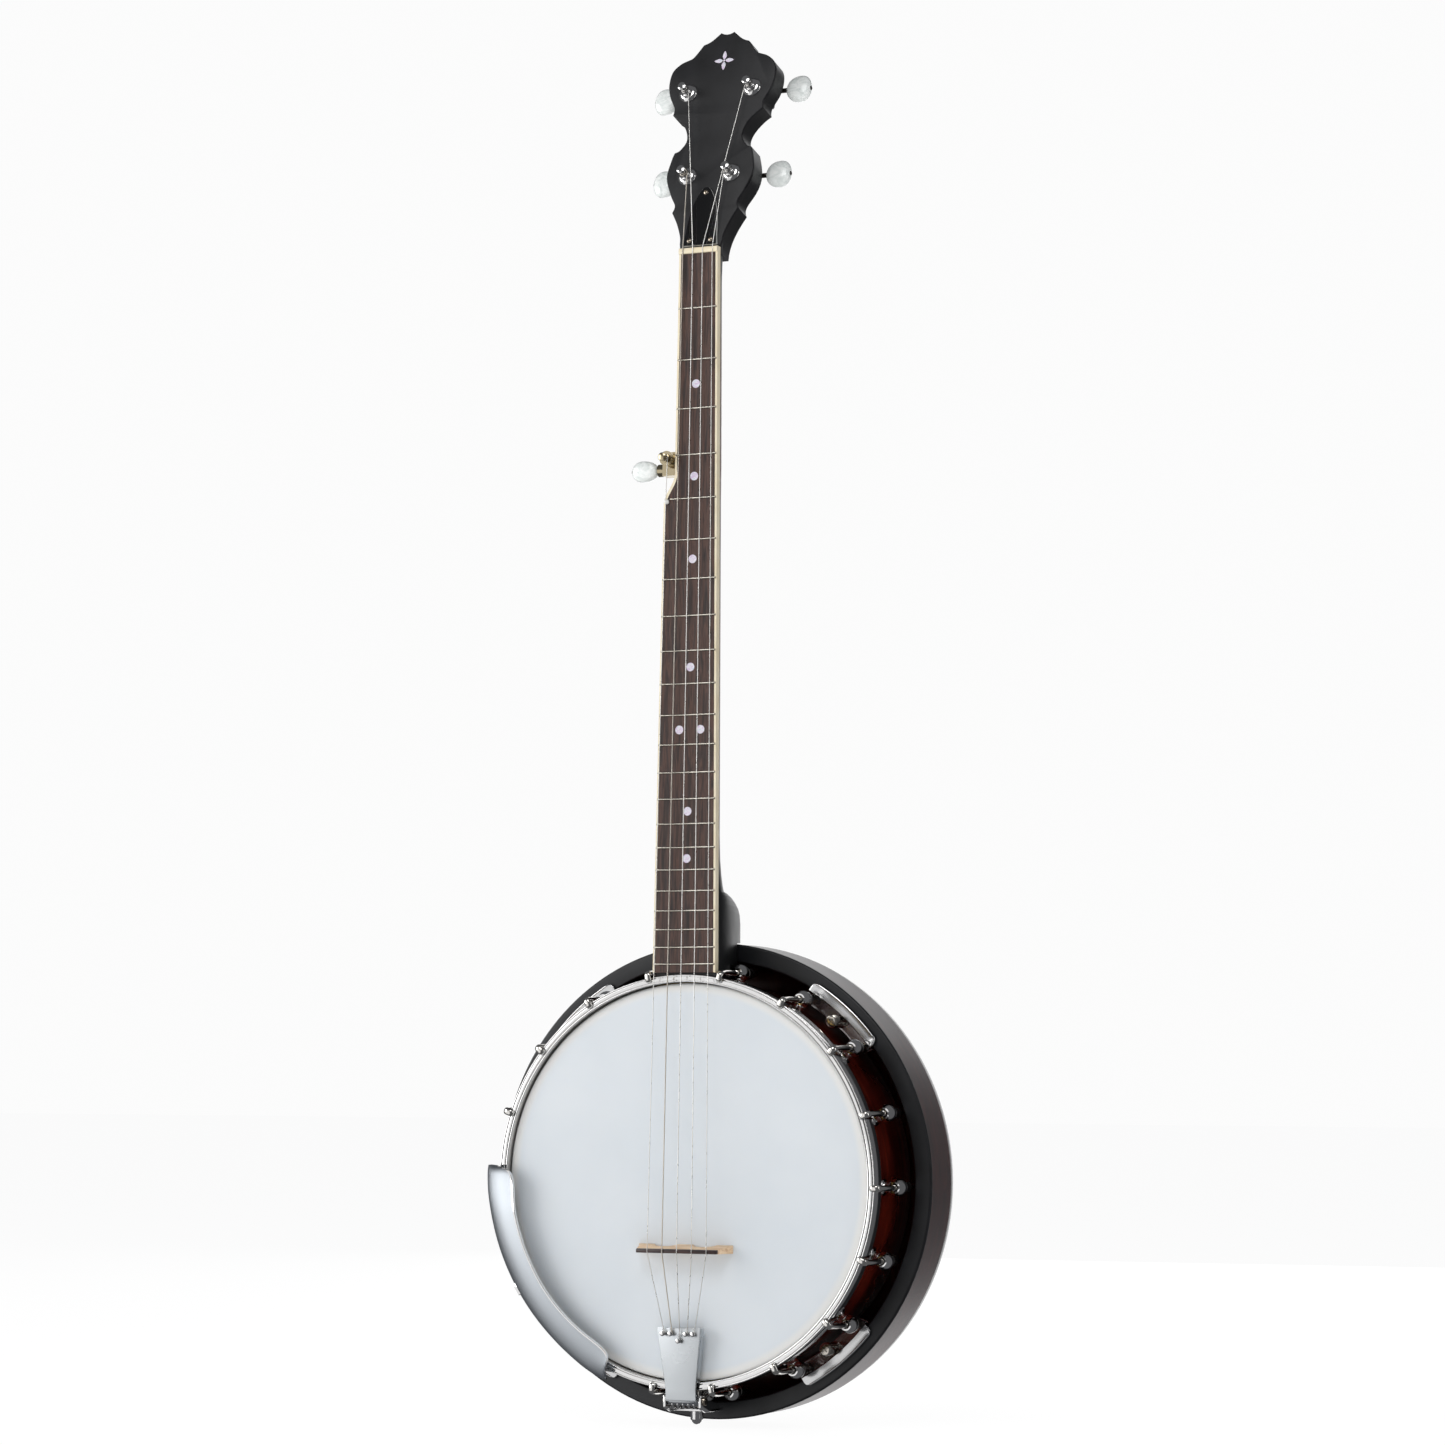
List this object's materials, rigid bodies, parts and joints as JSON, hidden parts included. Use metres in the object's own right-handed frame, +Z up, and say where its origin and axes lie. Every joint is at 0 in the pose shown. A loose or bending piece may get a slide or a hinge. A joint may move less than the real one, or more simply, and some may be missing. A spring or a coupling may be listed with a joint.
{
  "type": "banjo",
  "caption": "Resonator banjo with a fretted neck, geared tuning pegs, a short drone-string peg, a tensioned drum head with hooks, a floating bridge, a hinged tailpiece and an armrest.",
  "frame": {"origin": "on the pot's axis, at the flat middle of the resonator's back", "axes": "+Z runs up the neck, the drum head faces -Y and +X is to the right seen from the front"},
  "size_m": [0.3262, 0.116, 0.972],
  "materials": {
    "chrome": "polished plate",
    "plated_steel": "zinc plated",
    "brass": "rolled",
    "head_film": "coated, matt",
    "red_mahogany": "red-brown stain, gloss",
    "stained_wood": "dark red-brown stain, satin",
    "satin_black": "black, satin",
    "rosewood": "open grain, oiled",
    "cream_plastic": "polished",
    "pearl": "pearl",
    "fret_metal": "polished nickel silver",
    "black_plastic": "gloss",
    "maple": "bare",
    "ebony": "bare",
    "string_steel": "drawn wire",
    "pearl_plastic": "pearloid"
  },
  "bodies": {
    "root": {"armrest": "chrome", "armrest_clamps": "plated_steel", "binding": "cream_plastic", "bracket_hooks": "chrome", "bracket_shoes": "chrome", "bridge": "maple", "bridge_saddle": "ebony", "coordinator_rods": "plated_steel", "cover_screws": "plated_steel", "drum_head": "head_film", "fifth_peg_case": "chrome", "fifth_string_nut": "cream_plastic", "fingerboard": "rosewood", "flange_plates": "chrome", "flesh_hoop": "plated_steel", "frets": "fret_metal", "hook_nuts": "chrome", "neck": "satin_black", "nut": "cream_plastic", "peghead_overlay": "satin_black", "position_dots": "pearl", "resonator_back": "stained_wood", "resonator_lip": "satin_black", "resonator_lugs": "satin_black", "resonator_sidewall": "stained_wood", "rim": "red_mahogany", "rod_nuts": "plated_steel", "shoe_screws": "plated_steel", "string_1": "string_steel", "string_2": "string_steel", "string_3": "string_steel", "string_4": "string_steel", "string_5": "string_steel", "tailpiece_bracket": "chrome", "tailpiece_nut": "chrome", "tailpiece_pin": "chrome", "tension_hoop": "chrome", "tone_ring": "brass", "truss_rod": "plated_steel", "truss_rod_cover": "black_plastic", "tuner_bushings": "chrome", "tuner_case_screws": "plated_steel", "tuner_cases": "chrome"},
    "tuner_button_4": {"tuner_button_4": "pearl_plastic"},
    "tuner_post_4": {"tuner_post_4": "chrome"},
    "tuner_button_3": {"tuner_button_3": "pearl_plastic"},
    "tuner_post_3": {"tuner_post_3": "chrome"},
    "tuner_button_2": {"tuner_button_2": "pearl_plastic"},
    "tuner_post_2": {"tuner_post_2": "chrome"},
    "tuner_button_1": {"tuner_button_1": "pearl_plastic"},
    "tuner_post_1": {"tuner_post_1": "chrome"},
    "tuner_button_5": {"tuner_button_5": "pearl_plastic"},
    "tuner_post_5": {"tuner_post_5": "chrome"},
    "thumb_screw_1": {"thumb_screw_1": "chrome"},
    "thumb_screw_2": {"thumb_screw_2": "chrome"},
    "thumb_screw_3": {"thumb_screw_3": "chrome"},
    "thumb_screw_4": {"thumb_screw_4": "chrome"},
    "tailpiece": {"tailpiece_plate": "chrome"}
  },
  "joints": [
    {"name": "button_4_spin", "type": "hinge", "parent": "root", "child": "tuner_button_4", "pos_m": [-0.0169, -0.04744, 0.70006], "axis": [1, 0, 0], "continuous": true},
    {"name": "post_4_spin", "type": "hinge", "parent": "root", "child": "tuner_post_4", "pos_m": [-0.0169, -0.06903, 0.6993], "axis": [0, -0.9636, 0.2672], "continuous": true},
    {"name": "button_3_spin", "type": "hinge", "parent": "root", "child": "tuner_button_3", "pos_m": [-0.0247, -0.02986, 0.76346], "axis": [1, 0, 0], "continuous": true},
    {"name": "post_3_spin", "type": "hinge", "parent": "root", "child": "tuner_post_3", "pos_m": [-0.0247, -0.05145, 0.76271], "axis": [0, -0.9636, 0.2672], "continuous": true},
    {"name": "button_2_spin", "type": "hinge", "parent": "root", "child": "tuner_button_2", "pos_m": [0.0247, -0.02986, 0.76346], "axis": [1, 0, 0], "continuous": true},
    {"name": "post_2_spin", "type": "hinge", "parent": "root", "child": "tuner_post_2", "pos_m": [0.0247, -0.05145, 0.76271], "axis": [0, -0.9636, 0.2672], "continuous": true},
    {"name": "button_1_spin", "type": "hinge", "parent": "root", "child": "tuner_button_1", "pos_m": [0.0169, -0.04744, 0.70006], "axis": [1, 0, 0], "continuous": true},
    {"name": "post_1_spin", "type": "hinge", "parent": "root", "child": "tuner_post_1", "pos_m": [0.0169, -0.06903, 0.6993], "axis": [0, -0.9636, 0.2672], "continuous": true},
    {"name": "button_5_spin", "type": "hinge", "parent": "root", "child": "tuner_button_5", "pos_m": [-0.0205, -0.08244, 0.49044], "axis": [1, 0, 0], "continuous": true},
    {"name": "post_5_spin", "type": "hinge", "parent": "root", "child": "tuner_post_5", "pos_m": [-0.0205, -0.0922, 0.49729], "axis": [0, -0.9994, 0.0349], "continuous": true},
    {"name": "thumb_screw_1_turn", "type": "hinge", "parent": "root", "child": "thumb_screw_1", "pos_m": [0.0946, -0.06, 0.10883], "axis": [0, -1, 0], "continuous": true},
    {"name": "thumb_screw_2_turn", "type": "hinge", "parent": "root", "child": "thumb_screw_2", "pos_m": [0.09075, -0.06, -0.11206], "axis": [0, -1, 0], "continuous": true},
    {"name": "thumb_screw_3_turn", "type": "hinge", "parent": "root", "child": "thumb_screw_3", "pos_m": [-0.09075, -0.06, -0.11206], "axis": [0, -1, 0], "continuous": true},
    {"name": "thumb_screw_4_turn", "type": "hinge", "parent": "root", "child": "thumb_screw_4", "pos_m": [-0.0946, -0.06, 0.10883], "axis": [0, -1, 0], "continuous": true},
    {"name": "tailpiece_tilt", "type": "hinge", "parent": "root", "child": "tailpiece", "pos_m": [0, -0.0995, -0.1475], "axis": [1, 0, 0], "range_deg": [-4, 0]}
  ],
  "couplings": [
    {"joint": "post_4_spin", "follows": "button_4_spin", "ratio": 0.071429},
    {"joint": "post_3_spin", "follows": "button_3_spin", "ratio": 0.071429},
    {"joint": "post_2_spin", "follows": "button_2_spin", "ratio": 0.071429},
    {"joint": "post_1_spin", "follows": "button_1_spin", "ratio": 0.071429},
    {"joint": "post_5_spin", "follows": "button_5_spin", "ratio": 0.071429}
  ]
}
